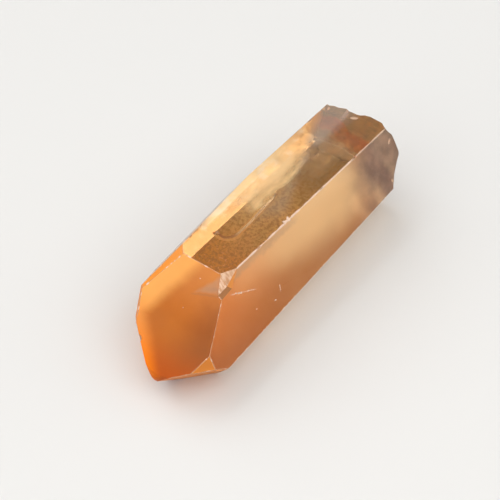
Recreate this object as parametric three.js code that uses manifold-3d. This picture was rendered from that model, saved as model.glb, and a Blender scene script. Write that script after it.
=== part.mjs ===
// A single point of tangerine quartz, lying on one of its prism faces.
//
// Millimetres, +Z up. The crystal's long (c) axis runs along X, with the natural tip
// towards -X and the end that was broken off its matrix towards +X. The origin is the
// middle of the bounding box, at the surface that the crystal rests on.
import * as THREE from "three";
import { ConvexGeometry } from "three/addons/geometries/ConvexGeometry.js";
import { mergeVertices } from "three/addons/utils/BufferGeometryUtils.js";
import Module from "manifold-3d";

const wasm = await Module();
wasm.setup();

// Quartz keeps the same angles between its faces on every crystal: the six prism faces
// stand at right angles to the c axis, 60 degrees apart, and the rhombohedral faces of
// the tip lean at 51.8 degrees to it.
const PRISM = 90;
const RHOMB = 51.8;

// How far each growth face lies from the middle of the crystal, along its own normal.
// "around" turns about the c axis from straight up, positive towards +Y, and "lean" is
// the angle between the normal and the direction of the tip.
const FACES = [
  { name: "resting prism face", around: 180, lean: PRISM, distance: 5.5 },
  { name: "top prism face", around: 0, lean: PRISM, distance: 5.5 },
  { name: "near upper prism face", around: -62, lean: PRISM - 1.5, distance: 5.61 },
  { name: "near lower prism face", around: -120, lean: PRISM + 1.5, distance: 6.15 },
  { name: "far upper prism face, tip half", around: 60, lean: PRISM - 1.5, distance: 5.48 },
  { name: "far upper prism face, base half", around: 60, lean: PRISM + 1.7, distance: 5.73 },
  { name: "far lower prism face", around: 120, lean: PRISM + 1.5, distance: 6.49 },
  { name: "main rhomb face", around: 0, lean: RHOMB, distance: 9.18 },
  { name: "near upper rhomb face", around: -60, lean: RHOMB, distance: 12.52 },
  { name: "far upper rhomb face", around: 60, lean: RHOMB, distance: 11.11 },
  { name: "far lower rhomb face", around: 120, lean: RHOMB + 2.7, distance: 10.28 },
  { name: "under rhomb face", around: 180, lean: RHOMB, distance: 12.6 },
  { name: "near lower tip face", around: -134, lean: 58, distance: 11.38 },
  { name: "narrow side face", around: 28.5, lean: 67, distance: 8.44 },
  { name: "far narrow side face", around: 90, lean: 65.6, distance: 8.95 },
];

// The very point is worn blunt: a ball's worth of small facets between the three faces
// that meet there.
const POINT = {
  faces: ["main rhomb face", "far lower rhomb face", "near lower tip face"],
  radius: 0.85,
  steps: 6,
};

// The broken end: shell-shaped scars, each with its centre on the break, its reach and
// its depth, and fine ripples that spread from the centre.
const BREAK_DISTANCE = 18.45;
const SCARS = [
  { y: -8.3, z: -0.6, reach: 4.2, depth: 3.2 },
  { y: 4.4, z: 5.0, reach: 4.6, depth: 1.3 },
  { y: 6.0, z: -3.2, reach: 5.4, depth: 1.7 },
  { y: -0.8, z: -5.4, reach: 3.8, depth: 0.9 },
  { y: -4.6, z: 6.2, reach: 1.6, depth: 0.7 },
  { y: -0.3, z: 5.8, reach: 1.1, depth: 0.65 },
];
const RIPPLE_SPACING = 0.95;
const RIPPLE_HEIGHT = 0.05;
const GRAIN = 0.07;

// The corner flaked off between the main tip face, the top face and the near upper face:
// the flake's rim on those faces, its deepest point, and the way it came off.
const CORNER = {
  rim: [
    [-7.8, -2.38, 5.5], [-6.27, -3.24, 5.5], [-7.86, -3.81, 4.35], [-9.5, -3.84, 4.2],
    [-9.39, -3.27, 4.3],
  ],
  deepest: [-7.98, -3.3, 4.42],
  away: [-1.4, -3, 2.24],
};

// Small chips out of the edges. "at" is the middle of the scooping ellipsoid and "radii"
// are its half sizes along the crystal's own axes.
const CHIPS = [
  { name: "top ridge nick", at: [-2.9, -3.46, 5.68], radii: [0.7, 0.28, 0.26] },
  { name: "top ridge nick", at: [1.8, -3.6, 5.7], radii: [0.45, 0.28, 0.25] },
  { name: "top ridge nick", at: [7.2, -3.76, 5.7], radii: [0.9, 0.3, 0.27] },
  { name: "top ridge nick", at: [12.6, -3.92, 5.7], radii: [0.6, 0.31, 0.29] },
  { name: "far top nick", at: [14.4, 3.15, 5.75], radii: [1.1, 0.45, 0.38] },
  { name: "near side nick", at: [9.6, -7.15, -0.35], radii: [0.8, 0.32, 0.42] },
  { name: "near side nick", at: [-3.1, -6.95, -1.1], radii: [0.6, 0.26, 0.36] },
  { name: "tip rim nick", at: [-15.39, 2.14, -0.08], radii: [0.5, 0.5, 0.5] },
  { name: "tip rim nick", at: [-16.1, 1.25, -0.72], radii: [0.3, 0.42, 0.3] },
];

// A long flat flake off the far edge of the resting face: its outline there, from above,
// and the sloping step down into it.
const SPALL = {
  outline: [
    [0.6, 5.6], [0.5, 4.4], [0.25, 3.8], [0.35, 3.25], [0.75, 2.8], [1.3, 2.52],
    [2.2, 2.46], [3.7, 2.4], [5.8, 2.53], [7.7, 2.56], [8.6, 2.8], [9.2, 3.6], [9.4, 5.6],
  ],
  step: 0.27,
  slope: 0.19,
  steps: 26,
};

// Coarse enough to keep the solid light; only the few facets that cut the crystal stay.
const BREAK_STEP = 0.42;
const CHIP_SEGMENTS = 40;
const CUTTER = 40;

/** Turns a closed three.js geometry into a solid that can be cut. */
function toSolid(geometry) {
  const bare = geometry.clone();
  bare.deleteAttribute("normal");
  bare.deleteAttribute("uv");
  const merged = mergeVertices(bare);
  return new wasm.Manifold(new wasm.Mesh({
    numProp: 3,
    vertProperties: new Float32Array(merged.attributes.position.array),
    triVerts: new Uint32Array(merged.index.array),
  }));
}

/** Gives a solid back as a flat-shaded three.js geometry. */
function toGeometry(solid) {
  const { vertProperties, triVerts } = solid.getMesh();
  const geometry = new THREE.BufferGeometry();
  geometry.setAttribute("position", new THREE.BufferAttribute(vertProperties, 3));
  geometry.setIndex(new THREE.BufferAttribute(triVerts, 1));
  return geometry;
}

/** The direction that a growth face looks in. */
function faceNormal({ around, lean }) {
  const turn = THREE.MathUtils.degToRad(around);
  const tilt = THREE.MathUtils.degToRad(lean);
  return new THREE.Vector3(
    -Math.cos(tilt),
    Math.sin(tilt) * Math.sin(turn),
    Math.sin(tilt) * Math.cos(turn),
  );
}

/** A block that lies against a plane, outside the crystal. */
function outside(normal, distance) {
  const turn = new THREE.Quaternion().setFromUnitVectors(new THREE.Vector3(1, 0, 0), normal);
  const place = normal.clone().multiplyScalar(distance + CUTTER / 2);
  const block = new THREE.BoxGeometry(CUTTER, CUTTER, CUTTER);
  return toSolid(block.applyQuaternion(turn).translate(place.x, place.y, place.z));
}

/** Wears the point blunt with facets that touch a ball lying against its three faces. */
function wearPoint(sharp) {
  const faces = POINT.faces.map((name) => FACES.find((face) => face.name === name));
  const [a, b, c] = faces.map(faceNormal);
  const inwards = new THREE.Matrix3(...a, ...b, ...c).invert();
  const ball = new THREE.Vector3(...faces.map((face) => face.distance - POINT.radius));
  ball.applyMatrix3(inwards);
  let solid = sharp;
  for (let i = 1; i < POINT.steps - 1; i += 1) {
    for (let j = 1; j < POINT.steps - i; j += 1) {
      const normal = a.clone().multiplyScalar(i).addScaledVector(b, j);
      normal.addScaledVector(c, POINT.steps - i - j).normalize();
      solid = solid.subtract(outside(normal, normal.dot(ball) + POINT.radius));
    }
  }
  return solid;
}

/** A repeatable value from 0 to 1 for a place on the break. */
function grainAt(y, z) {
  const wave = Math.sin(y * 12.9898 + z * 78.233) * 43758.5453;
  return wave - Math.floor(wave);
}

/** Where the broken surface lies along the c axis. */
function breakAt(y, z) {
  let x = BREAK_DISTANCE;
  for (const scar of SCARS) {
    const away = Math.hypot(y - scar.y, z - scar.z);
    const bowl = Math.max(0, 1 - (away / scar.reach) ** 2);
    const ripple = Math.cos((away / RIPPLE_SPACING) * 2 * Math.PI);
    x -= scar.depth * bowl + RIPPLE_HEIGHT * ripple * Math.sqrt(bowl);
  }
  return x - GRAIN * grainAt(y, z);
}

/** The block that takes the broken end off. */
function brokenOff() {
  const width = 20;
  const height = 15;
  const depth = 12;
  const block = new THREE.BoxGeometry(
    depth, width, height, 1, Math.round(width / BREAK_STEP), Math.round(height / BREAK_STEP),
  );
  const position = block.attributes.position;
  for (let i = 0; i < position.count; i += 1) {
    const onBreak = position.getX(i) < 0;
    const x = onBreak ? breakAt(position.getY(i), position.getZ(i)) : BREAK_DISTANCE + depth;
    position.setX(i, x);
  }
  return toSolid(block);
}

/** The flake that came off the corner of the tip. */
function cornerFlake() {
  const rim = CORNER.rim.map((point) => new THREE.Vector3(...point));
  const away = new THREE.Vector3(...CORNER.away);
  const beyond = rim.map((point) => point.clone().add(away));
  return toSolid(new ConvexGeometry([new THREE.Vector3(...CORNER.deepest), ...rim, ...beyond]));
}

/** The ellipsoid that scoops one chip out of an edge. */
function scoop({ at, radii }) {
  const ball = new THREE.SphereGeometry(1, CHIP_SEGMENTS, CHIP_SEGMENTS / 2);
  return toSolid(ball.scale(...radii).translate(...at));
}

/** The block that takes the long flat flake off the resting face. */
function spall() {
  const inner = new THREE.SplineCurve(SPALL.outline.map(([x, y]) => new THREE.Vector2(x, y)));
  const depth = 2;
  const block = new THREE.ExtrudeGeometry(new THREE.Shape(inner.getPoints(SPALL.steps)), {
    depth,
    bevelThickness: SPALL.step,
    bevelSize: SPALL.slope,
    bevelOffset: -SPALL.slope,
    bevelSegments: 1,
  });
  const bottom = FACES[0].distance;
  return toSolid(block.translate(0, 0, -bottom - depth));
}

/** The whole crystal, set down with the middle of its box over the origin. */
function crystalGeometry() {
  let solid = toSolid(new THREE.BoxGeometry(CUTTER, CUTTER, CUTTER));
  for (const face of FACES) {
    solid = solid.subtract(outside(faceNormal(face), face.distance));
  }
  solid = wearPoint(solid).subtract(cornerFlake()).subtract(brokenOff()).subtract(spall());
  for (const chip of CHIPS) {
    solid = solid.subtract(scoop(chip));
  }
  const geometry = toGeometry(solid);
  geometry.computeBoundingBox();
  const middle = geometry.boundingBox.getCenter(new THREE.Vector3());
  return geometry.translate(-middle.x, -middle.y, -geometry.boundingBox.min.z);
}

const quartz = new THREE.MeshStandardMaterial({
  color: 0xe08a3c,
  roughness: 0.12,
  metalness: 0,
  flatShading: true,
});

const crystal = new THREE.Mesh(crystalGeometry(), quartz);
crystal.name = "quartz_crystal";

const model = new THREE.Group();
model.add(crystal);

export default model;
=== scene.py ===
"""A tangerine quartz point: a clear orange crystal, chipped along its ridges, over a dark skin of
painted shade.
"""

import math
import random

import bmesh
import bpy
from mathutils import Matrix, Vector, noise


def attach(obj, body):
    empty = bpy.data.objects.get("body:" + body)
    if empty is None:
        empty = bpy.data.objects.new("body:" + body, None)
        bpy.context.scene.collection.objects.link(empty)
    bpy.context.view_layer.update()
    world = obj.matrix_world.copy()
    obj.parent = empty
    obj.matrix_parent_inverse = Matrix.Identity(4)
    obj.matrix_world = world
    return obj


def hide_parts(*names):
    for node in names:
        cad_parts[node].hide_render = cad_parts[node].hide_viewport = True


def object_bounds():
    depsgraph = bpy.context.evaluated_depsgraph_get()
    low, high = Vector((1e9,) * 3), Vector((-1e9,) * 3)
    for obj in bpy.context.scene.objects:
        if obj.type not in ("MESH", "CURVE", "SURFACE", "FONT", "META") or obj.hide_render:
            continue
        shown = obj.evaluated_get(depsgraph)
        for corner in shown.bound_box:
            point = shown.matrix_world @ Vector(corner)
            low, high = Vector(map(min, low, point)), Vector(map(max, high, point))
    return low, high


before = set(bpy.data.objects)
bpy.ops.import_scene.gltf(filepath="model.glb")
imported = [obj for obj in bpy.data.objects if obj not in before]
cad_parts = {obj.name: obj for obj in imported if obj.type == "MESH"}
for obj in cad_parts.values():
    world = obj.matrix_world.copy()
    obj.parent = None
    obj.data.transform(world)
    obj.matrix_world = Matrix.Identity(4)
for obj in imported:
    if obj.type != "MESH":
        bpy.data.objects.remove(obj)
CAD_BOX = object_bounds()
NODE = "quartz_crystal"

# Shapes are worked out in millimetres and brought to metres when a piece is finished.
MM = 0.001

# The middle of the crystal's own axis, from which its growth faces are measured, lies this
# far behind the tip, below the top face and to the near side of the box's middle. Places
# given in this script are measured from it.
TIP_REACH = 17.034
HALF_HEIGHT = 5.5
ASIDE = 0.092
AXIS = Vector((CAD_BOX[0].x / MM + TIP_REACH, -ASIDE, CAD_BOX[1].z / MM - HALF_HEIGHT))

# Growth faces by the way they look out: how frosted each one is, how much of it a thin
# orange skin hides, and how strongly the clear part of it is tinted. The last stands for
# the small faces of the tip.
GROWTH_FACES = {
    "resting": {"looks": (0, 0, -1), "frost": 0.05, "skin": 0.0, "coat": 0.1},
    "top": {"looks": (0, 0, 1), "frost": 0.012, "skin": 0.02, "coat": 0.0},
    "near_upper": {"looks": (-0.026, -0.883, 0.469), "frost": 0.60, "skin": 0.62, "coat": 0.60},
    "near_lower": {"looks": (0.026, -0.866, -0.500), "frost": 0.05, "skin": 0.04, "coat": 0.15},
    "far_upper_tip": {"looks": (-0.026, 0.866, 0.500), "frost": 0.20, "skin": 0.08, "coat": 0.2},
    "far_upper_base": {"looks": (0.030, 0.866, 0.500), "frost": 0.20, "skin": 0.08, "coat": 0.2},
    "far_lower": {"looks": (0.026, 0.866, -0.500), "frost": 0.04, "skin": 0.03, "coat": 0.1},
    "main_rhomb": {"looks": (-0.618, 0, 0.786), "frost": 0.22, "skin": 0.66, "coat": 1.0},
    "narrow_side": {"looks": (-0.391, 0.439, 0.809), "frost": 0.30, "skin": 0.75, "coat": 0.8},
    "other": {"looks": (0, 0, 0), "frost": 0.50, "skin": 0.50, "coat": 1.0},
}

# How wide a strip handling has worn along the ridges: the top one, those of the tip's small
# faces, and the others. A worn ridge lies lower than a sharp one by about a share of that.
TOP_RIDGE = {"top", "near_upper"}
TOP_RIDGE_WEAR = 0.14
TIP_WEAR = 0.08
RIDGE_WEAR = 0.05
WEAR_DROP = 0.15

# The bars that wear the ridges: their width, the length of one step, how uneven they are,
# and how fast that changes along a bar, across it and from bar to bar.
RASP_WIDTH = 0.9
RASP_STEP = 0.3
RASP_UNEVEN = 1.2
RASP_GRAIN = (1.4, 0.2, 7.3)

# Chips along the ridges: their size, how many sizes long they are, how much of a size their
# middle stands clear, and how lumpy they are.
CHIP_SIZE = (0.10, 0.22)
CHIP_LENGTH = (1.2, 2.8)
CHIP_CLEAR = (0.66, 0.86)
CHIP_LUMPS = 0.16
LUMP_GRAIN = 1.7
LUMP_SHIFT = 3

# Where the first and the last chip of a ridge may be, how many half lengths each keeps clear
# of the next, and how thickly they follow on the busiest, the busier and the other ridges.
RIDGE_START = (0.3, 0.8)
RIDGE_END = 0.5
SHORTEST_RIDGE = 1.5
CHIP_SPACING = 1.9
BUSIEST = 5.0
BUSIER = 0.9
BUSY = 0.5

# The blunt point reaches this far behind the tip.
POINT_REACH = 1.6

# Two faces meet in a ridge if they turn by more than the first angle, and are one face if
# they turn by less than the second.
RIDGE_TURN = math.radians(12)
FLAT_TURN = math.radians(0.8)

# A face grew if it is bigger than this, or if it looks the way of a known growth face. How
# well growth faces and flake facets have to match is the cosine of the angle between.
GROWTH_AREA = 0.9
GROWTH_MATCH = 0.9995
FLAKE_MATCH = 0.9965

# Corners this close to a plane lie in it, and corners this close together are one: in the
# frame's solid, and after the cuts.
FLAT = 0.004
WELD = 0.002
SLIVER = 0.001

# The kinds of mesh face. Each also has a number for which growth face or flake facet it is,
# or for whether a worn ridge is the top one.
GROWN, BLUNT, WORN, BROKEN, FLAKED, CHIPPED = range(6)

# What the material knows about each face: how much it has of each of these.
LABELS = ("frost", "skin", "coat", "top", "near", "rhomb", "worn", "broken", "pale", "brown", "sliver")

# The facets where the tip's near corner flaked off, by the way they look out.
CORNER = Vector((-7.9, -3.2, 4.8))
CORNER_REACH = 2.0
FLAKE_FACETS = [
    ((-0.378, -0.672, 0.636), {"frost": 0.3, "pale": 1.0}),
    ((-0.072, -0.753, 0.654), {"frost": 0.3, "pale": 1.3}),
    ((-0.513, -0.234, 0.826), {"frost": 0.3, "sliver": 1.0}),
    ((-0.087, -0.156, 0.984), {"frost": 0.3, "brown": 1.0}),
]

# The long flat flake's scar in the resting face is no deeper than this, and the break
# begins this far behind the middle. Chips and worn ridges are duller from here on back, and
# below here.
SPALL_DEPTH = 0.3
BREAK_START = 10
DULL_BEHIND = 12
DULL_BELOW = -4

# A face is level if its normal has more than this up or down, and looks towards the tip if
# its normal has less than this along the crystal.
LEVEL = 0.98
TIPWARD = -0.3

# The crystal's underside is kept this far above the level that it rests on. A dark skin of
# painted shade lies in that gap: how far it is below the underside, and how thick.
UNDERSIDE = 0.02
SHADE_SKIN_DROP = 0.018
SHADE_SKIN_THICKNESS = 0.008

# Small bruises and a scratch, each a short line of dents: where it starts and ends, and
# how wide it is.
MARKS = [
    ((-8.15, -4.13, 3.91), (-5.45, -4.84, 2.75), 0.11),
    ((-8.15, -2.62, 5.30), (-8.45, -2.86, 5.06), 0.07),
    ((-8.45, -2.86, 5.06), (-8.8, -3.0, 4.79), 0.08),
    ((-9.42, -3.4, 4.27), (-9.5, -3.8, 4.22), 0.06),
    ((-2.5, -5.62, 1.25), (-2.75, -5.97, 0.58), 0.06),
    ((-3.8, -6.04, 0.4), (-3.7, -6.04, 0.4), 0.08),
    ((-6.3, -5.6, 1.1), (-6.2, -5.6, 1.1), 0.06),
    ((17.6, -4.75, 4.0), (17.9, -4.6, 4.3), 0.20),
    ((16.0, -6.2, 1.2), (16.1, -6.5, 0.6), 0.20),
    ((16.6, 2.3, 5.5), (17.2, 2.5, 5.5), 0.16),
    ((17.1, -0.2, 5.5), (17.5, -0.9, 5.5), 0.22),
    ((-11.5, -0.6, 2.64), (-11.4, -0.6, 2.7), 0.05),
    ((-8.9, -0.8, 4.68), (-8.9, -0.7, 4.68), 0.05),
]

# The dents of a mark: how many sizes apart and how far astray they lie, and how many long
# and wide each is.
MARK_SPACING = 3
MARK_ASTRAY = 0.2
MARK_LENGTH = (1.2, 2.0)
MARK_WIDTH = (0.7, 1.1)

# Healed cracks sealed in the crystal: four corners of each sheet, how dense it is, how
# rusty, and how far it bends.
VEILS = [
    (((1.0, 2.8, 2.2), (11.5, 2.4, 3.0), (12.5, 0.2, 3.6), (3.0, 1.2, 3.2)), 1.8, 0.0, 0.25),
    (((-7.5, 3.3, 4.7), (11.0, 3.1, 4.7), (11.0, 4.7, 2.2), (-7.5, 4.9, 2.2)), 0.5, 0.0, 0.12),
    (((7.0, -2.6, 4.2), (16.0, -2.8, 4.4), (16.0, 2.3, 3.2), (8.5, 2.4, 3.0)), 0.35, 0.1, 0.35),
    (((-6.0, -3.0, 4.0), (15.0, -3.3, 4.0), (15.0, -5.2, 0.3), (-5.0, -5.0, 0.5)), 0.6, 0.0, 0.20),
    (((-12.8, 2.2, 1.2), (-9.5, 1.8, 3.6), (-9.0, 0.2, 3.0), (-12.5, 0.8, 0.6)), 0.9, 0.0, 0.15),
    (((-10.1, -0.6, 3.45), (-9.0, -1.2, 4.3), (-8.2, -2.0, 5.0), (-9.2, -3.3, 4.15)), 2.5, 0.1, 0.08),
    (((-10.1, -0.6, 3.40), (-9.7, -2.0, 3.75), (-9.3, -3.5, 4.05), (-9.45, -2.0, 3.62)), 3.0, 1.0, 0.03),
]

# The mesh of each sheet, how closely it waves, how far one sheet's waves are from another's,
# and how thick it is.
VEIL_GRID = (28, 14)
VEIL_GRAIN = 0.35
VEIL_SHIFT = 5
VEIL_THICKNESS = 0.01


# ------------------------------------------------------------------ mesh helpers

def finish_piece(name, bm, material):
    """Brings a millimetre mesh to metres and makes it an object that rides on the crystal's body."""
    bmesh.ops.scale(bm, vec=(MM, MM, MM), verts=bm.verts)
    mesh = bpy.data.meshes.new(name)
    bm.to_mesh(mesh)
    bm.free()
    mesh.materials.append(material)
    piece = bpy.data.objects.new(name, mesh)
    bpy.context.scene.collection.objects.link(piece)
    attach(piece, "root")
    return piece


def as_object(name, bm):
    """Puts a millimetre mesh in the scene for a modifier to use."""
    mesh = bpy.data.meshes.new(name)
    bm.to_mesh(mesh)
    bm.free()
    helper = bpy.data.objects.new(name, mesh)
    bpy.context.scene.collection.objects.link(helper)
    return helper


def cut_away(body, cutter):
    """Cuts one mesh out of another and returns what is left."""
    body, cutter = as_object("body", body), as_object("cutter", cutter)
    cut = body.modifiers.new("cut", "BOOLEAN")
    cut.operation = "DIFFERENCE"
    cut.solver = "MANIFOLD"
    cut.object = cutter
    graph = bpy.context.evaluated_depsgraph_get()
    left = bmesh.new()
    left.from_mesh(body.evaluated_get(graph).to_mesh())
    bpy.data.objects.remove(body)
    bpy.data.objects.remove(cutter)
    return left


# ------------------------------------------------------------------ the crystal

def growth_of(face):
    """The growth face that a mesh face belongs to, or None on a break, a chip or a worn edge."""
    for name, grown in GROWTH_FACES.items():
        if face.normal.dot(Vector(grown["looks"]).normalized()) > GROWTH_MATCH:
            return name
    return "other" if face.calc_area() > GROWTH_AREA else None


def join_flat(bm):
    """Joins the triangles of each growth face into one face, however thin some of them are."""
    bmesh.ops.remove_doubles(bm, verts=bm.verts, dist=WELD)
    bmesh.ops.dissolve_limit(bm, angle_limit=FLAT_TURN, verts=bm.verts, edges=bm.edges)
    for name in GROWTH_FACES:
        grown = [f for f in bm.faces if growth_of(f) == name]
        if name == "other" or not grown:
            continue
        main = max(grown, key=lambda f: f.calc_area())
        out, place = main.normal.copy(), main.verts[0].co.copy()
        flat = [f for f in bm.faces if all(abs((v.co - place).dot(out)) < FLAT for v in f.verts)]
        bmesh.ops.dissolve_faces(bm, faces=flat)


def flake_facet(face):
    """Which facet of the flaked corner a face is, or None anywhere else."""
    if (face.calc_center_median() - AXIS - CORNER).length < CORNER_REACH:
        for facet, (looks, _) in enumerate(FLAKE_FACETS):
            if face.normal.dot(Vector(looks).normalized()) > FLAKE_MATCH:
                return facet
    return None


def clean_body():
    """The frame's crystal with its triangles joined into whole faces, each knowing what it is."""
    bm = bmesh.new()
    bm.from_mesh(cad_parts[NODE].data)
    bmesh.ops.scale(bm, vec=(1 / MM, 1 / MM, 1 / MM), verts=bm.verts)
    join_flat(bm)
    kind = bm.faces.layers.int.new("kind")
    which = bm.faces.layers.int.new("which")
    tip = min(v.co.x for v in bm.verts)
    for face in bm.faces:
        name, facet = growth_of(face), flake_facet(face)
        if facet is not None:
            face[kind], face[which] = FLAKED, facet
        elif face.calc_center_median().x < tip + POINT_REACH:
            face[kind] = BLUNT
        elif name:
            face[kind], face[which] = GROWN, list(GROWTH_FACES).index(name)
        else:
            face[kind] = BROKEN
    return bm


def ridges(bm):
    """The edges where two growth faces meet, each with the names of both."""
    kind = bm.faces.layers.int["kind"]
    found = []
    for edge in bm.edges:
        if edge.is_manifold and edge.is_convex and edge.calc_face_angle() > RIDGE_TURN:
            if all(f[kind] == GROWN for f in edge.link_faces):
                found.append((edge, {growth_of(f) for f in edge.link_faces}))
    return found


def wear_width(faces):
    """How wide the worn strip is on the ridge between two growth faces."""
    if faces == TOP_RIDGE:
        return TOP_RIDGE_WEAR
    return TIP_WEAR if "other" in faces else RIDGE_WEAR


def rasp(edge, faces, seed):
    """A long rough bar, laid along a ridge, whose underside wears it to a blunt and uneven line."""
    width = wear_width(faces)
    start, end = (v.co.copy() for v in edge.verts)
    out = (edge.link_faces[0].normal + edge.link_faces[1].normal).normalized()
    way = (end - start).normalized()
    turn = edge.calc_face_angle() / 2
    depth = width / 2 * (math.tan(turn) - math.tan(turn / 2))
    long = (end - start).length + RASP_WIDTH
    bar = bmesh.new()
    kind = bar.faces.layers.int.new("kind")
    which = bar.faces.layers.int.new("which")
    bmesh.ops.create_grid(bar, x_segments=max(2, round(long / RASP_STEP)), y_segments=2, size=0.5)
    for v in bar.verts:
        x, y = v.co.x * long, v.co.y * RASP_WIDTH
        grain = Vector(at * fast for at, fast in zip((x, y, seed), RASP_GRAIN))
        uneven = 1 + RASP_UNEVEN * noise.noise(grain)
        v.co = (x, y, -depth * uneven - abs(y) * math.tan(turn / 2))
    raised = bmesh.ops.extrude_face_region(bar, geom=bar.faces[:])["geom"]
    lid = [v for v in raised if isinstance(v, bmesh.types.BMVert)]
    bmesh.ops.translate(bar, vec=(0, 0, RASP_WIDTH), verts=lid)
    bmesh.ops.recalc_face_normals(bar, faces=bar.faces)
    place = Matrix((way, out.cross(way), out)).transposed().to_4x4()
    place.translation = (start + end) / 2
    bmesh.ops.transform(bar, matrix=place, verts=bar.verts)
    for face in bar.faces:
        face[kind] = WORN
        face[which] = int(faces == TOP_RIDGE)
    return bar


def dent(cutter, middle, way, long, size):
    """A small irregular ball, drawn out along a line, that takes one chip out."""
    turn = way.to_track_quat("X", "Z").to_matrix().to_4x4()
    place = Matrix.Translation(middle) @ turn @ Matrix.Diagonal((long, size, size, 1))
    ball = bmesh.ops.create_icosphere(cutter, subdivisions=2, radius=1.0)["verts"]
    for v in ball:
        v.co *= 1 + CHIP_LUMPS * noise.noise(v.co * LUMP_GRAIN + middle * LUMP_SHIFT)
    bmesh.ops.transform(cutter, matrix=place, verts=ball)


def busyness(faces):
    """How thickly chips follow one another on the ridge between two growth faces."""
    if faces == TOP_RIDGE:
        return BUSIEST
    return BUSIER if faces & {"near_upper", "main_rhomb"} else BUSY


def chip_ridge(cutter, edge, faces, rng):
    """Adds the balls that take the chips out along one ridge."""
    worn = wear_width(faces) * WEAR_DROP
    start, end = (v.co for v in edge.verts)
    way = (end - start).normalized()
    out = (edge.link_faces[0].normal + edge.link_faces[1].normal).normalized()
    at = rng.uniform(*RIDGE_START)
    while at < edge.calc_length() - RIDGE_END:
        size = rng.uniform(*CHIP_SIZE)
        long = rng.uniform(*CHIP_LENGTH)
        clear = size * rng.uniform(*CHIP_CLEAR) - worn
        dent(cutter, start + way * at + out * clear, way, size * long, size)
        at += size * long * CHIP_SPACING + rng.expovariate(busyness(faces))


def mark_face(cutter, start, end, size, rng):
    """Adds the balls that take one mark, a short line of dents, out of a face."""
    start, end = AXIS + Vector(start), AXIS + Vector(end)
    dents = max(1, round((end - start).length / (size * MARK_SPACING)))
    for step in range(dents):
        astray = Vector(rng.gauss(0, size * MARK_ASTRAY) for _ in range(3))
        middle = start.lerp(end, (step + 0.5) / dents) + astray
        long = size * rng.uniform(*MARK_LENGTH)
        wide = size * rng.uniform(*MARK_WIDTH)
        dent(cutter, middle, end - start, long, wide)


def chips_and_marks(bm, seed):
    """The balls that take the chips out of the ridges, and the marks out of the faces."""
    rng = random.Random(seed)
    cutter = bmesh.new()
    kind = cutter.faces.layers.int.new("kind")
    for edge, faces in ridges(bm):
        if edge.calc_length() >= SHORTEST_RIDGE:
            chip_ridge(cutter, edge, faces, rng)
    for start, end, size in MARKS:
        mark_face(cutter, start, end, size, rng)
    for face in cutter.faces:
        face[kind] = CHIPPED
    return cutter


def even_out(bm):
    """Splits the cut crystal into even triangles, without slivers or faces left back to back."""
    bmesh.ops.remove_doubles(bm, verts=bm.verts, dist=SLIVER)
    bmesh.ops.dissolve_degenerate(bm, dist=SLIVER, edges=bm.edges)
    bmesh.ops.triangulate(bm, faces=bm.faces[:], ngon_method="BEAUTY")
    same = {}
    for face in bm.faces:
        same.setdefault(frozenset(face.verts), []).append(face)
    doubled = [face for faces in same.values() if len(faces) > 1 for face in faces]
    bmesh.ops.delete(bm, geom=doubled, context="FACES")


def in_spall(face):
    """Whether a broken face is part of the long flat flake's scar, on the resting side."""
    middle = face.calc_center_median() - AXIS
    return middle.z < SPALL_DEPTH - HALF_HEIGHT and middle.x < BREAK_START


def broken_look(face):
    """The look of a face that broke: the flake's scar, its step, the far end or a nick."""
    if in_spall(face):
        if abs(face.normal.z) > LEVEL:
            return {"frost": 0.05, "worn": 0.12}
        # The step's facets carry the bright film as painted light, nearly all over on those that look
        # towards the tip and half over on the rest.
        return {"frost": 0.2, "worn": 0.95 if face.normal.x < TIPWARD else 0.5}
    if (face.calc_center_median() - AXIS).x > BREAK_START:
        return {"frost": 0.3, "broken": 1.0}
    return {"frost": 0.3, "worn": 0.2}


def growth_look(name):
    """The look of a growth face."""
    look = {key: GROWTH_FACES[name][key] for key in ("frost", "skin", "coat")}
    for label, grown in (("top", "top"), ("near", "near_upper"), ("rhomb", "main_rhomb")):
        look[label] = float(name == grown)
    return look


def worn_look(face, bright):
    """The look of a chip or a worn ridge: pale, but less so low down and by the break."""
    at = face.calc_center_median() - AXIS
    share = 1.0 if bright else 0.55
    if at.z < DULL_BELOW:
        share = 0.3
    if at.x > DULL_BEHIND:
        share *= 0.6
    return {"frost": 0.2, "worn": share}


def label_faces(bm):
    """Stores on each corner what kind of surface it belongs to, for the material."""
    kind = bm.faces.layers.int["kind"]
    which = bm.faces.layers.int["which"]
    layers = {name: bm.loops.layers.float.new(name) for name in LABELS}
    for face in bm.faces:
        if face[kind] == GROWN:
            look = growth_look(list(GROWTH_FACES)[face[which]])
        elif face[kind] == BLUNT:
            look = growth_look("main_rhomb")
        elif face[kind] == BROKEN:
            look = broken_look(face)
        elif face[kind] == FLAKED:
            look = FLAKE_FACETS[face[which]][1]
        else:
            look = worn_look(face, bright=face[kind] == CHIPPED or face[which])
        face.smooth = face[kind] in (BLUNT, WORN) or (face[kind] == BROKEN and not in_spall(face))
        for corner in face.loops:
            for name in LABELS:
                corner[layers[name]] = look.get(name, 0.0)


# ------------------------------------------------------------------ what lies under and inside it

def underside_shade_skin(bm):
    """A thin dark skin of painted shade just under the resting face and the flake's scar in it."""
    skin = bm.copy()
    others = [f for f in skin.faces if f.normal.z > -LEVEL or f.calc_center_median().z > SPALL_DEPTH]
    bmesh.ops.delete(skin, geom=others, context="FACES")
    for v in skin.verts:
        v.co.z = max(v.co.z, UNDERSIDE) - SHADE_SKIN_DROP
    bmesh.ops.solidify(skin, geom=skin.faces[:], thickness=SHADE_SKIN_THICKNESS)
    bmesh.ops.recalc_face_normals(skin, faces=skin.faces)
    return skin


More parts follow.
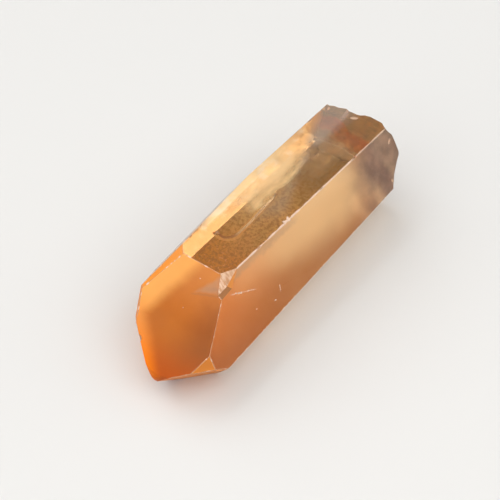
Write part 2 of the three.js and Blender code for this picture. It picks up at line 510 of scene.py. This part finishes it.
def veils():
    """All the healed cracks, as thin closed sheets that fade towards their rims."""
    bm = bmesh.new()
    fade = bm.verts.layers.float.new("fade")
    rusty = bm.verts.layers.float.new("rusty")
    long, wide = VEIL_GRID
    for corners, density, rust, bend in VEILS:
        a, b, c, d = (AXIS + Vector(corner) for corner in corners)
        out = (c - a).cross(d - b).normalized()
        sheet = bmesh.ops.create_grid(bm, x_segments=long, y_segments=wide, size=0.5)["verts"]
        for v in sheet:
            u, w = v.co.x + 0.5, v.co.y + 0.5
            v.co = a.lerp(b, u).lerp(d.lerp(c, u), w)
            v.co += out * bend * noise.noise(v.co * VEIL_GRAIN + out * VEIL_SHIFT)
            # Both u and w run from 0 to 1 over the sheet, and the 16 makes its middle 1.
            v[fade] = density * min(1, 16 * u * (1 - u) * w * (1 - w))
            v[rusty] = rust
    bmesh.ops.solidify(bm, geom=bm.faces[:], thickness=VEIL_THICKNESS)
    for face in bm.faces:
        face.smooth = True
    return bm


# ------------------------------------------------------------------ materials

# A Mix node has sockets for every kind of value; these are its factor, its two colours and
# the colour that it makes.
MIX_INPUTS = (0, 6, 7)
MIX_OUTPUT = 2


class Socket:
    """A shader value that can be written in ordinary sums."""

    def __init__(self, shader, socket):
        self.shader = shader
        self.socket = socket

    def _sum(self, operation, *values):
        settings = {"operation": operation}
        return self.shader.node("ShaderNodeMath", settings, dict(enumerate(values)))

    def __add__(self, other):
        return self._sum("ADD", self, other)

    def __sub__(self, other):
        return self._sum("SUBTRACT", self, other)

    def __mul__(self, other):
        return self._sum("MULTIPLY", self, other)

    def __truediv__(self, other):
        return self._sum("DIVIDE", self, other)

    def __rsub__(self, other):
        return self._sum("SUBTRACT", other, self)

    __radd__ = __add__
    __rmul__ = __mul__

    def least(self, other):
        return self._sum("MINIMUM", self, other)

    def most(self, other):
        return self._sum("MAXIMUM", self, other)


class Shader:
    """One material's node tree."""

    def __init__(self, name):
        self.material = bpy.data.materials.new(name)
        self.material.use_nodes = True
        self.tree = self.material.node_tree
        self.tree.nodes.clear()

    def node(self, kind, settings=None, values=None, out=0):
        """Adds a node, settings first and then sockets, and gives back one output if it has any."""
        made = self.tree.nodes.new(kind)
        for key, value in (settings or {}).items():
            setattr(made, key, value)
        for key, value in (values or {}).items():
            if isinstance(value, Socket):
                self.tree.links.new(value.socket, made.inputs[key])
            else:
                made.inputs[key].default_value = value
        return Socket(self, made.outputs[out]) if made.outputs else None

    def noise(self, where, scale, detail=3.0, roughness=0.5, stretch=(1, 1, 1)):
        """Noise from 0 to 1, with its scale in bumps per millimetre."""
        sizes = [scale / MM * size for size in stretch]
        placed = self.node("ShaderNodeMapping", {}, {"Vector": where, "Scale": sizes})
        values = {"Vector": placed, "Scale": 1.0, "Detail": detail, "Roughness": roughness}
        return self.node("ShaderNodeTexNoise", {}, values)

    def rise(self, value, low, high):
        """0 below low, 1 above high, with a smooth step between."""
        settings = {"interpolation_type": "SMOOTHSTEP"}
        values = {"Value": value, "From Min": low, "From Max": high}
        return self.node("ShaderNodeMapRange", settings, values)

    def stripe(self, away, reach):
        """1 on a line, and 0 from where the square of the way to it is a given reach."""
        return 1 - self.rise(away * away, 0.0, reach)

    def mix(self, factor, first, second):
        """A colour between two colours."""
        colours = [c if isinstance(c, Socket) else (*c, 1.0) for c in (first, second)]
        sockets = dict(zip(MIX_INPUTS, (factor, *colours)))
        return self.node("ShaderNodeMix", {"data_type": "RGBA"}, sockets, out=MIX_OUTPUT)

    def attribute(self, name):
        """A value that the mesh knows about each point."""
        return self.node("ShaderNodeAttribute", {"attribute_name": name}, out="Fac")

    def where(self):
        """The place of each point, as the patterns take it."""
        return self.node("ShaderNodeTexCoord", out="Object")

    def from_middle(self, where):
        """How far along, across and up a point is from the crystal's middle, in millimetres."""
        parts = [self.node("ShaderNodeSeparateXYZ", {}, {0: where}, out=axis) for axis in "XYZ"]
        return [part / MM - middle for part, middle in zip(parts, AXIS)]

    def principled(self, values):
        """The usual surface, with these values or links on its sockets."""
        return self.node("ShaderNodeBsdfPrincipled", {}, values)

    def finish(self, surface, volume=None):
        """Joins up the output, and gives back the material."""
        values = {"Surface": surface, "Volume": volume} if volume else {"Surface": surface}
        self.node("ShaderNodeOutputMaterial", {}, values)
        return self.material


def beyond(rise, run, point, slope):
    """How far past a straight line a place is, from one point of the line and its slope."""
    return rise - point[1] - (run - point[0]) * slope


def near_film(s, where, along, height, cloud):
    """The near face's film, its colour and its share: orange, then peach, then grey-brown, and darker
    low down as painted shade.
    """
    # Low on the face the film is a darker, deeper orange: painted shade.
    lift = height + cloud * 1.2 + s.rise(along, -2, 6) * 1.2
    peach = s.mix(s.rise(lift, 1.5, 5.0), (0.42, 0.12, 0.02), (1.0, 0.60, 0.27))
    tip = s.mix(s.rise(height + cloud, -1, 4.4), (0.40, 0.07, 0.0), (0.80, 0.205, 0.028))
    mottle = s.noise(where, 0.8, detail=5, roughness=0.6)
    grey = s.mix(s.rise(mottle, 0.3, 0.7), (0.18, 0.12, 0.09), (0.32, 0.20, 0.14))
    colour = s.mix(s.rise(along + cloud * 5, -9, 5), tip, peach)
    colour = s.mix(s.rise(along + cloud * 6, 11, 18), colour, grey)
    # The floor of the long scratch is pale, and a painted shadow lies along the top edge, under the worn
    # ridge.
    scratch = s.stripe(beyond(height, along, (-8.29, 3.94), -0.443), 0.008)
    scratch = scratch * s.rise(along, -8.5, -8.0) * s.rise(-1 * along, 5.2, 5.5)
    colour = s.mix(scratch * s.rise(mottle, 0.3, 0.6) * 0.8, colour, (1.0, 0.66, 0.50))
    ridge_shadow = s.rise(height + mottle * 1.2, 5.15, 5.7) * s.rise(3 - along + mottle * 4, 0, 5)
    colour = s.mix(ridge_shadow * 0.6, colour, (0.50, 0.30, 0.17))
    return colour, s.rise(along + cloud * 6, 13, 19) * 0.2


def rhomb_film(s, along, across, height, cloud):
    """The main tip face's film: a painted glow on the far side and round the rim, painted shade towards
    the near side, reddest at the foot.
    """
    far_side = beyond(across, along, (-8.0, -0.06), -0.505)
    rim = beyond(across, along, (-14.31, 1.35), 1.08)
    # The far side and the rim are painted bright, as if lit from behind: painted light.
    glow = s.rise(far_side.most(rim * 0.8) + cloud * 0.8, -0.4, 1.4)
    haze = s.rise(height + cloud * 2, 3.0, 6.5)
    foot = s.rise(-1 * height, -1.2, 1.4)
    # Towards the near side the film is darker: painted shade.
    colour = s.mix(s.rise(-1 * across, 0, 4.5), (0.56, 0.145, 0.0), (0.34, 0.08, 0.0))
    colour = s.mix(haze, colour, (0.70, 0.24, 0.045))
    colour = s.mix(foot, colour, (0.47, 0.08, 0.0))
    bright = s.mix(s.rise(height, -1.5, 3), (0.82, 0.18, 0.0), (1.0, 0.44, 0.10))
    return s.mix(glow, colour, bright), glow * 0.1 + foot * 0.22


def bruised(s, colour, where, along, across):
    """The same film with a bruise, rusty along its lower edge, that starts at the flaked corner."""
    ragged = s.noise(where, 1.5, detail=4) - 0.5
    above = beyond(along, across, (-0.6, -10.2), -0.276) + ragged * 0.3
    inside = ragged * 0.6 - beyond(along, across, (-0.5, -10.2), -1.185)
    bruise = s.rise(above, 0, 0.35) * s.rise(inside, 0, 0.7)
    colour = s.mix(bruise * 0.7, colour, (0.56, 0.30, 0.16))
    edge = s.stripe(above, 0.012) * s.rise(inside, -0.1, 0.6)
    colour = s.mix(edge * 0.6, colour, (0.46, 0.17, 0.05))
    shadow = s.stripe(above - 0.55, 0.06) * s.rise(inside, 0.6, 1.4)
    return s.mix(shadow * 0.45, colour, (0.42, 0.24, 0.14))


def top_film(s, where, along, across, cloud):
    """The top face's film: milky on the far side, and rusty and grey by the break."""
    streaky = s.noise(where, 0.9, detail=4, roughness=0.6, stretch=(0.35, 1, 1))
    haze_end = -1 * beyond(along, across, (1.12, 11.15), 2.37)
    puffs = s.rise(s.noise(where, 0.5, detail=4), 0.48, 0.64) * s.rise(across, 1.1, 1.7)
    puffs = puffs * s.rise(haze_end, 0, 3)

    rusty = s.mix(s.rise(streaky, 0.42, 0.60), (0.28, 0.16, 0.08), (0.50, 0.22, 0.09))
    grey = s.mix(s.rise(across + streaky * 3, 0.3, 1.9), rusty, (0.40, 0.33, 0.27))
    glint = s.stripe(beyond(across, along, (16.56, 0.32), 0.156), 0.09)
    glint = glint * s.rise(along, 15.0, 17.2)
    grey = s.mix(glint * 0.8, grey, (0.62, 0.46, 0.40))
    milky = s.mix(s.rise(along, 7, 12), (1.0, 0.68, 0.34), (0.92, 0.50, 0.20))
    milky = s.mix(puffs * 0.7, milky, (1.0, 0.82, 0.58))
    milky = s.mix(s.rise(-1 * across - streaky, -0.4, 0.6), milky, (0.50, 0.55, 0.49))
    colour = s.mix(s.rise(haze_end, -2.5, 1.5), grey, milky)

    # The haze gathers in a wide sheet, a streaky inner one, a knot, a far rim and a faint bloom.
    sheet = s.rise(across + cloud, 0.2, 1.7) * s.rise(along, -1, 6) * s.rise(haze_end, -0.8, 2.6)
    inner = s.rise(across + streaky * 2.0, -0.1, 1.3) * s.rise(along + cloud * 2, 0.0, 3.2)
    inner = inner * s.rise(haze_end + streaky * 2, -2, 1)
    inner = inner * (s.rise(streaky, 0.3, 0.7) * 0.3 + 0.26)
    knot = (along - 12.1) * (along - 12.1) * 0.5 + (across - 1.6) * (across - 1.6)
    knot = 1 - s.rise(knot, 0.1, 0.8)
    rim = s.rise(across + cloud * 0.4, 2.3, 2.7) * s.rise(along, -5, -2)
    rim = rim * s.rise(-1 * along, -7, -4)
    bloom = s.rise(along + across + cloud * 3, -1.5, 3.5) * (streaky * 0.12 + 0.03)
    end = s.rise(across + cloud, 0.4, 1.2) * 0.25 + 0.2
    end = s.rise(along + cloud * 3, 12.0, 14.5) * end
    share = (sheet * 0.5).most(inner).most(knot * 0.7).most(puffs * 0.35)
    return colour, share.most(rim * 0.7).most(bloom).most(end)


def grown_film(s, where, at, cloud, tipward, label):
    """The film on the growth faces, each with its own colour and its own share of the face."""
    along, across, height = at
    near_colour, near_share = near_film(s, where, along, height, cloud)
    rhomb_colour, rhomb_share = rhomb_film(s, along, across, height, cloud)
    rhomb_colour = bruised(s, rhomb_colour, where, along, across)
    top_colour, top_share = top_film(s, where, along, across, cloud)
    colour = s.mix(tipward, (0.82, 0.64, 0.48), (1.0, 0.34, 0.04))
    colour = s.mix(label["near"], colour, near_colour)
    colour = s.mix(label["rhomb"], colour, rhomb_colour)
    colour = s.mix(label["top"], colour, top_colour)
    share = label["top"] * top_share + label["near"] * near_share
    share = share + label["rhomb"] * rhomb_share
    return colour, share + label["skin"] * (cloud * 0.4 + 0.8)


def broken_film(s, where, height, label, colour):
    """The same film where the crystal is worn or broken: pale edges, rust and flaked facets."""
    # Worn edges and chips are pale; low down, on the flake's step, the colour turns a bright orange that
    # stands for the light that the step catches: painted light.
    edge = s.mix(s.rise(-1 * height, 4.5, 4.9), (0.84, 0.62, 0.48), (1.0, 0.88, 0.50))
    rust = s.rise(s.noise(where, 0.6, detail=4), 0.42, 0.66) * label["broken"]
    rays = s.rise(s.noise(where, 5.0, detail=3, stretch=(1, 0.2, 0.4)), 0.38, 0.62)
    colour = s.mix(label["worn"], colour, edge)
    colour = s.mix(rust, colour, (0.76, 0.42, 0.22))
    colour = s.mix(label["pale"], colour, s.mix(rays, (0.66, 0.34, 0.17), (0.94, 0.66, 0.48)))
    colour = s.mix(label["brown"], colour, (0.34, 0.15, 0.06))
    colour = s.mix(label["sliver"], colour, (0.72, 0.25, 0.04))
    share = label["worn"] * 0.85 + label["broken"] * 0.12 + rust * 0.15
    return colour, share + label["pale"] * 0.7 + label["brown"] * 0.85 + label["sliver"] * 0.7


def quartz_material():
    """The crystal: clear orange quartz, under a thin film that differs from face to face."""
    s = Shader("tangerine_quartz")
    where = s.where()
    at = s.from_middle(where)
    along, _, height = at
    label = {name: s.attribute(name) for name in LABELS}
    cloud = s.noise(where, 0.25, detail=4)
    tipward = s.rise(cloud * 8 - along, -8, 14)
    colour, share = grown_film(s, where, at, cloud, tipward, label)
    colour, broken_share = broken_film(s, where, height, label, colour)

    # The clear quartz is orange at the tip and fades to a smoky grey-brown by the break.
    deep = s.mix(s.rise(-1 * along, 10, 17), (1.0, 0.42, 0.07), (1.0, 0.32, 0.03))
    tint = s.mix(label["coat"] * (tipward * 0.7 + 0.3), (0.99, 0.93, 0.84), deep)
    rough = label["frost"] * (tipward * 0.5 + 0.5)
    bumps = s.noise(where, 1.2, detail=5, stretch=(3, 1, 1)) * (1 - label["top"] * 0.6)
    settings = {"Strength": 0.05, "Distance": 0.1 * MM, "Height": bumps}
    normal = s.node("ShaderNodeBump", {}, settings)
    clear = s.principled({
        "Base Color": tint,
        "Roughness": rough,
        "IOR": 1.544,
        "Transmission Weight": 1.0,
        "Normal": normal,
    })
    film = s.principled({
        "Base Color": colour,
        "Roughness": 0.5,
        "Specular IOR Level": 0.12,
        "Normal": normal,
    })
    surface = s.node("ShaderNodeMixShader", {}, {0: share + broken_share, 1: clear, 2: film})
    orange = {"Color": (1.0, 0.70, 0.23, 1.0), "Density": 65.0}
    return s.finish(surface, s.node("ShaderNodeVolumeAbsorption", {}, orange))


def underside_shade_material():
    """The dark underlay: painted shade under the crystal as a patchy brown and yellow skin, with a
    painted bright line along the flake's scar.
    """
    s = Shader("painted_underside_shade")
    where = s.where()
    along, across, _ = s.from_middle(where)
    mottle = s.noise(where, 0.55, detail=5, roughness=0.6, stretch=(0.5, 1, 1))
    grain = s.noise(where, 2.6, detail=5, roughness=0.75)
    speck = s.noise(where, 3.2, detail=2)
    tipward = s.rise(2 - along + mottle * 4, 0, 7)
    colour = s.mix(s.rise(mottle, 0.35, 0.65), (0.78, 0.77, 0.45), (1.0, 0.96, 0.62))
    colour = s.mix(tipward * 0.85, colour, (0.78, 0.53, 0.09))
    colour = s.mix(s.rise(along + mottle * 4, 10, 15), colour, (0.50, 0.50, 0.34))
    colour = s.mix(s.rise(grain, 0.46, 0.56) * 0.6, colour, (0.42, 0.33, 0.15))
    specks = s.rise(speck, 0.60, 0.66) * (tipward * 0.7 + 0.1)
    colour = s.mix(specks, colour, (1.0, 0.80, 0.40))

    # A painted bright line along the flake's scar stands for the light that its step catches: a bend,
    # then a straight run.
    bend = (along - 1.65) * (along - 1.65) + (across - 3.85) * (across - 3.85)
    bend = s.rise(bend, 1.3, 1.6) * s.rise(-1 * bend, -3.2, -2.9) * s.rise(-1 * along, -1.8, -1.6)
    run = s.rise(across, 2.2, 2.35) * s.rise(-1 * across, -2.84, -2.70)
    run = run * s.rise(along, 1.6, 1.8) * s.rise(-1 * along, -9, -5)
    painted_step_line = bend.most(run) * s.rise(-1 * across, -4.5, -4.2)
    colour = s.mix(painted_step_line * 0.9, colour, (1.0, 0.90, 0.52))

    # The painted shade thins out towards the tip, the break and the near side.
    ragged = s.noise(where, 0.3, detail=6, roughness=0.65)
    cover = s.rise(along + ragged * 4, -6.0, -3.6) * s.rise(17.9 - along - ragged * 2, 0, 1.5)
    cover = cover * s.rise(across + ragged * 3, -1.3, 1.0)
    return s.finish(s.principled({"Base Color": colour, "Roughness": 0.8, "Alpha": cover}))


def veil_material():
    """The healed cracks: streaky wisps, milky or rusty, that thin out towards their rims."""
    s = Shader("healed_crack")
    where = s.where()
    fade, rusty = map(s.attribute, ("fade", "rusty"))
    streak = s.noise(where, 0.7, detail=3, roughness=0.5, stretch=(0.3, 1, 1))
    cloud = s.noise(where, 0.35, detail=4)
    wisp = s.rise(streak * 0.5 + cloud * 0.5, 0.32, 0.66)
    colour = s.mix(rusty, (1.0, 0.79, 0.50), (0.55, 0.24, 0.08))
    cover = (wisp * fade).least(0.9)
    return s.finish(s.principled({"Base Color": colour, "Roughness": 0.7, "Alpha": cover}))


def floor_material():
    """The plain pale floor."""
    s = Shader("pale_floor")
    return s.finish(s.principled({"Base Color": (0.72, 0.71, 0.69, 1), "Roughness": 0.8}))


# ------------------------------------------------------------------ build

body = clean_body()
finish_piece("painted_underside_shade", underside_shade_skin(body), underside_shade_material())
finish_piece("healed_cracks", veils(), veil_material())

chips = chips_and_marks(body, seed=7)
rasps = [rasp(edge, faces, seed) for seed, (edge, faces) in enumerate(ridges(body))]
for cutter in [*rasps, chips]:
    body = cut_away(body, cutter)
even_out(body)
for v in body.verts:
    v.co.z = max(v.co.z, UNDERSIDE)
label_faces(body)
crystal = finish_piece("crystal", body, quartz_material())
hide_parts(NODE)

# ------------------------------------------------------------------ stage

CENTRE = (CAD_BOX[0] + CAD_BOX[1]) / 2
FLOOR_GAP = 0.03 * MM
FLOOR_RADIUS = 1.6

bm = bmesh.new()
bmesh.ops.create_circle(bm, cap_ends=True, radius=FLOOR_RADIUS, segments=64)
bmesh.ops.translate(bm, vec=(0, 0, -FLOOR_GAP), verts=bm.verts)
mesh = bpy.data.meshes.new("floor")
bm.to_mesh(mesh)
bm.free()
mesh.materials.append(floor_material())
floor = bpy.data.objects.new("floor", mesh)
bpy.context.scene.collection.objects.link(floor)


def look_from(target, azimuth, elevation, distance):
    """Where something stands that looks at a target, and which way it is turned."""
    turn, tilt = math.radians(azimuth), math.radians(elevation)
    level = math.cos(tilt)
    back = Vector((math.sin(turn) * level, -math.cos(turn) * level, math.sin(tilt)))
    facing = back.to_track_quat("Z", "Y").to_matrix().to_4x4()
    return Matrix.Translation(target + back * distance) @ facing


def soft_light(name, azimuth, elevation, distance, size, power):
    """A big plain white light that looks at the crystal."""
    light = bpy.data.lights.new(name, "AREA")
    light.shape = "RECTANGLE"
    light.size, light.size_y = size
    light.energy = power
    lamp = bpy.data.objects.new(name, light)
    lamp.matrix_world = look_from(CENTRE, azimuth, elevation, distance)
    lamp.visible_camera = False
    bpy.context.scene.collection.objects.link(lamp)


# The window is kept out of the top face's mirror, so that one can look down into the crystal.
soft_light("window", azimuth=172.5, elevation=50, distance=1.2, size=(1.20, 1.08), power=5.2)
soft_light("tip_side", azimuth=-115, elevation=50, distance=0.6, size=(0.9, 0.9), power=2.9)
soft_light("near_side", azimuth=-15, elevation=55, distance=0.6, size=(0.5, 0.5), power=1.6)
soft_light("right_side", azimuth=42, elevation=34, distance=0.5, size=(0.42, 0.34), power=0.42)

world = bpy.data.worlds.new("studio")
world.use_nodes = True
room = world.node_tree.nodes["Background"].inputs
room["Color"].default_value = (0.80, 0.80, 0.80, 1)
room["Strength"].default_value = 0.36
bpy.context.scene.world = world

# The camera looks at a place close to the middle of the crystal, through a long lens.
LOOKED_AT = (AXIS + Vector((0.10, -0.06, 0.34))) * MM
camera_data = bpy.data.cameras.new("camera")
camera_data.sensor_width = 36
camera_data.lens = 172.8
camera_data.clip_start = 0.01
camera_data.clip_end = 5
camera = bpy.data.objects.new("camera", camera_data)
camera.matrix_world = look_from(LOOKED_AT, azimuth=-53.4, elevation=47.9, distance=0.240)
bpy.context.scene.collection.objects.link(camera)
bpy.context.scene.camera = camera

bpy.context.scene.view_settings.view_transform = "Standard"

# Light goes in and out of the clear crystal many times.
bpy.context.scene.cycles.transmission_bounces = 16
bpy.context.scene.cycles.max_bounces = 20
